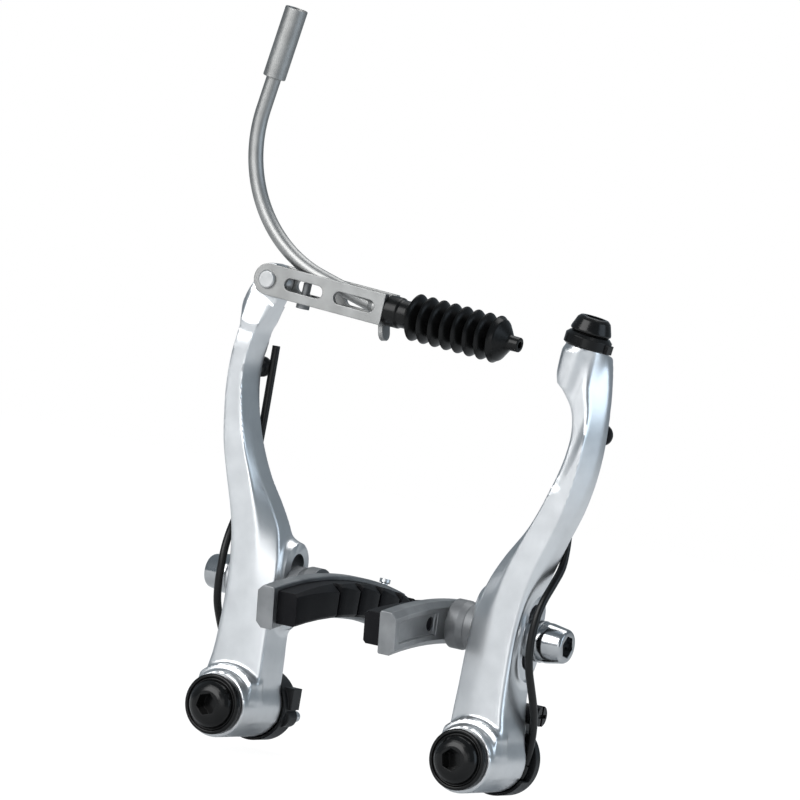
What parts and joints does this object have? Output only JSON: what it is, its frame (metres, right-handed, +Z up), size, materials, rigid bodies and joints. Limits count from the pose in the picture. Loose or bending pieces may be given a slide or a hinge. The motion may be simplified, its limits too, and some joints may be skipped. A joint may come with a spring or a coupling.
{
  "type": "linear-pull rim brake",
  "caption": "Pair of linear-pull bicycle brake arms with pivot bolts, return springs, cartridge pads, a riveted link, a bent cable guide tube, a bellows boot and a cable clamp.",
  "frame": {"origin": "midway between the two frame posts' axes, in the arms' mid plane", "axes": "+X across the wheel from the left arm to the right arm, +Y along the pivot axes towards the frame, +Z up along the arms"},
  "size_m": [0.1103, 0.0693, 0.1832],
  "materials": {
    "polished_arm": "polished forged aluminium, clear coated",
    "satin_aluminium": "satin cast aluminium",
    "matte_steel": "matte stainless steel",
    "zinc_steel": "bright zinc plated steel",
    "satin_rivet": "satin steel",
    "chrome_nut": "bright plated",
    "grey_washer": "grey sintered metal",
    "black_bolt": "gloss black coated steel",
    "black_spring": "black coated spring steel",
    "black_plastic": "moulded black plastic",
    "pad_rubber": "moulded brake rubber",
    "boot_rubber": "soft black rubber"
  },
  "bodies": {
    "root": {"left_pivot_sleeve": "zinc_steel", "left_pivot_bolt": "black_bolt", "left_spring_housing": "black_plastic", "left_tension_screw": "black_bolt", "left_stopper_pin": "zinc_steel", "right_pivot_sleeve": "zinc_steel", "right_pivot_bolt": "black_bolt", "right_spring_housing": "black_plastic", "right_tension_screw": "black_bolt", "right_stopper_pin": "zinc_steel"},
    "left_arm": {"left_arm": "polished_arm", "left_spring": "black_spring", "left_spring_pin": "black_plastic"},
    "right_arm": {"right_arm": "polished_arm", "right_spring": "black_spring", "right_spring_pin": "black_plastic", "clamp_washer": "black_bolt", "cable_bolt": "black_bolt"},
    "left_pad_clamp": {"left_inner_dome_washer": "grey_washer", "left_inner_cup_washer": "grey_washer", "left_outer_cup_washer": "zinc_steel", "left_outer_dome_washer": "zinc_steel", "left_pad_nut": "chrome_nut"},
    "right_pad_clamp": {"right_inner_dome_washer": "grey_washer", "right_inner_cup_washer": "grey_washer", "right_outer_cup_washer": "zinc_steel", "right_outer_dome_washer": "zinc_steel", "right_pad_nut": "chrome_nut"},
    "left_pad": {"left_pad_stud": "zinc_steel", "left_pad_holder": "satin_aluminium", "left_pad_rubber": "pad_rubber", "left_pad_pin": "zinc_steel"},
    "right_pad": {"right_pad_stud": "zinc_steel", "right_pad_holder": "satin_aluminium", "right_pad_rubber": "pad_rubber", "right_pad_pin": "zinc_steel"},
    "link": {"link": "matte_steel", "link_rivet": "satin_rivet", "link_stop_pin": "grey_washer", "boot": "boot_rubber"},
    "noodle": {"noodle_tube": "matte_steel", "noodle_ferrule": "matte_steel"}
  },
  "joints": [
    {"name": "left_arm_pivot", "type": "hinge", "parent": "root", "child": "left_arm", "pos_m": [-0.035, 0, 0], "axis": [0, -1, 0], "range_deg": [-2, 35], "stiffness_Nm_per_rad": 0.4},
    {"name": "right_arm_pivot", "type": "hinge", "parent": "root", "child": "right_arm", "pos_m": [0.035, 0, 0], "axis": [0, 1, 0], "range_deg": [-2, 35], "stiffness_Nm_per_rad": 0.4},
    {"name": "left_pad_height", "type": "slide", "parent": "left_arm", "child": "left_pad_clamp", "axis": [0, 0, 1], "range_m": [-0.004, 0.005]},
    {"name": "right_pad_height", "type": "slide", "parent": "right_arm", "child": "right_pad_clamp", "axis": [0, 0, 1], "range_m": [-0.004, 0.005]},
    {"name": "left_pad_angle", "type": "hinge", "parent": "left_pad_clamp", "child": "left_pad", "pos_m": [-0.035, 0.0045, 0.031], "axis": [1, 0, 0], "range_deg": [-10, 10]},
    {"name": "right_pad_angle", "type": "hinge", "parent": "right_pad_clamp", "child": "right_pad", "pos_m": [0.035, 0.0045, 0.031], "axis": [1, 0, 0], "range_deg": [-10, 10]},
    {"name": "link_pivot", "type": "hinge", "parent": "left_arm", "child": "link", "pos_m": [-0.044, -0.001, 0.106], "axis": [0, -1, 0], "range_deg": [-28, 60]},
    {"name": "noodle_release", "type": "slide", "parent": "link", "child": "noodle", "axis": [-0.9981, 0, 0.061], "range_m": [0, 0.004]}
  ]
}
